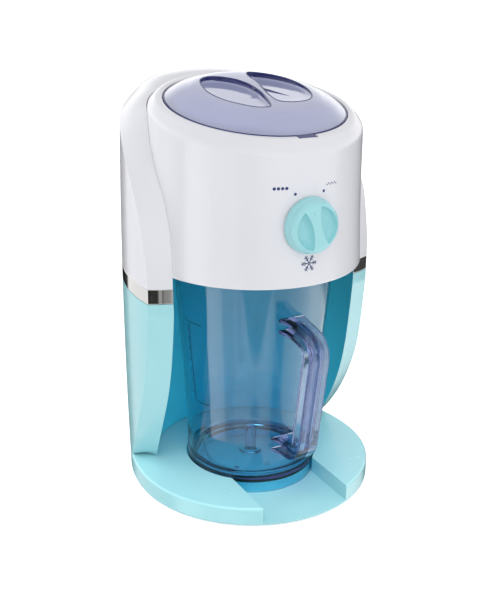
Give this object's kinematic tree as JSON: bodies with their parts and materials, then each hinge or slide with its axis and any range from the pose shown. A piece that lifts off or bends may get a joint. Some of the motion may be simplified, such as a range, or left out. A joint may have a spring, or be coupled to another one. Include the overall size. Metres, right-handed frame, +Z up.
{
  "type": "shaved ice machine",
  "caption": "Countertop electric shaved ice machine: domed lid over an ice hopper, shaving head with coarse-to-fine knob, C-shaped body and lift-out clear jug",
  "frame": {"origin": "on the standing surface, at the middle of the overall width and depth; the round axis of the jug, hopper and drive shaft stands 21 mm in front of it", "axes": "+Z up, the knob and the jug handle face -Y, the motor housing and cord are at +Y, +X is the machine's left-hand side seen from behind and the right-hand side seen from the front"},
  "size_m": [0.1926, 0.245, 0.3154],
  "materials": {
    "white": "glossy cool-white ABS, lightly scuffed",
    "teal": "semi-gloss pale teal ABS",
    "knob_teal": "satin pale turquoise ABS",
    "clear_blue": "transparent blue SAN, glossy",
    "clear_violet": "transparent grey-violet SAN, glossy",
    "chrome_trim": "chrome-plated plastic trim",
    "steel": "zinc-plated steel",
    "stainless": "brushed stainless steel",
    "brass": "sintered bronze bush",
    "nylon": "natural nylon",
    "rubber": "black rubber and PVC",
    "dark_plastic": "black moulded plastic"
  },
  "bodies": {
    "machine": {"base_cover": "teal", "base_screw_1": "steel", "base_screw_2": "steel", "base_screw_3": "steel", "base_screw_4": "steel", "base_tray": "teal", "chrome_band": "chrome_trim", "column": "teal", "cord_strain_relief": "rubber", "drive_plate": "steel", "floor_screw_1": "steel", "floor_screw_2": "steel", "floor_screw_3": "steel", "floor_screw_4": "steel", "foot_1": "rubber", "foot_2": "rubber", "foot_3": "rubber", "foot_4": "rubber", "head_floor": "white", "head_housing": "white", "hood": "white", "ice_chute": "white", "ice_hopper": "white", "idler_a_pin": "steel", "idler_b_pin": "steel", "interlock_switch": "dark_plastic", "mains_cord": "rubber", "motor_can": "steel", "motor_end_cap": "dark_plastic", "motor_screw_1": "steel", "motor_screw_2": "steel", "plate_bush": "brass", "shaving_plate": "stainless", "switch_bezel": "dark_plastic"},
    "lid": {"lid": "clear_violet"},
    "knob": {"knob": "knob_teal", "knob_shaft": "steel"},
    "blade_adjuster": {"blade_carriage": "nylon", "shaving_blade": "stainless"},
    "rotor": {"ice_rotor": "white", "drive_shaft": "steel", "main_gear": "nylon"},
    "idler_a": {"idler_a_gear": "nylon"},
    "idler_b": {"idler_b_gear": "nylon"},
    "motor_rotor": {"motor_pinion": "steel"},
    "jug": {"jug": "clear_blue", "jug_handle": "clear_blue"},
    "plunger": {"interlock_plunger": "nylon"},
    "rocker": {"power_rocker": "knob_teal"}
  },
  "joints": [
    {"name": "lid_lift", "type": "slide", "parent": "machine", "child": "lid", "axis": [0, -0.1809, 0.9835], "range_m": [0, 0.08]},
    {"name": "knob_turn", "type": "hinge", "parent": "machine", "child": "knob", "pos_m": [0, -0.1032, 0.226], "axis": [0, -1, 0], "range_deg": [-42, 12]},
    {"name": "blade_adjust", "type": "slide", "parent": "machine", "child": "blade_adjuster", "axis": [0, 0, 1], "range_m": [-0.00142, 0.00041]},
    {"name": "rotor_spin", "type": "hinge", "parent": "machine", "child": "rotor", "pos_m": [0, -0.021, 0.204], "axis": [0, 0, 1], "continuous": true},
    {"name": "idler_a_spin", "type": "hinge", "parent": "machine", "child": "idler_a", "pos_m": [0, 0.0074, 0.204], "axis": [0, 0, 1], "continuous": true},
    {"name": "idler_b_spin", "type": "hinge", "parent": "machine", "child": "idler_b", "pos_m": [0, 0.0363, 0.204], "axis": [0, 0, 1], "continuous": true},
    {"name": "motor_spin", "type": "hinge", "parent": "machine", "child": "motor_rotor", "pos_m": [0, 0.0605, 0.204], "axis": [0, 0, 1], "continuous": true},
    {"name": "jug_lift", "type": "slide", "parent": "machine", "child": "jug", "axis": [0, 0, 1], "range_m": [0, 0.0135]},
    {"name": "interlock_travel", "type": "slide", "parent": "machine", "child": "plunger", "axis": [0, -0.1809, 0.9835], "range_m": [-0.0015, 0]},
    {"name": "power_rocker_tilt", "type": "hinge", "parent": "machine", "child": "rocker", "pos_m": [0, 0.096, 0.063], "axis": [1, 0, 0], "range_deg": [-6, 6]}
  ],
  "couplings": [
    {"joint": "blade_adjust", "follows": "knob_turn", "m_per_rad": 0.001927},
    {"joint": "idler_a_spin", "follows": "rotor_spin", "ratio": -2.5},
    {"joint": "idler_b_spin", "follows": "rotor_spin", "ratio": 8.25},
    {"joint": "motor_spin", "follows": "rotor_spin", "ratio": -21.45}
  ]
}
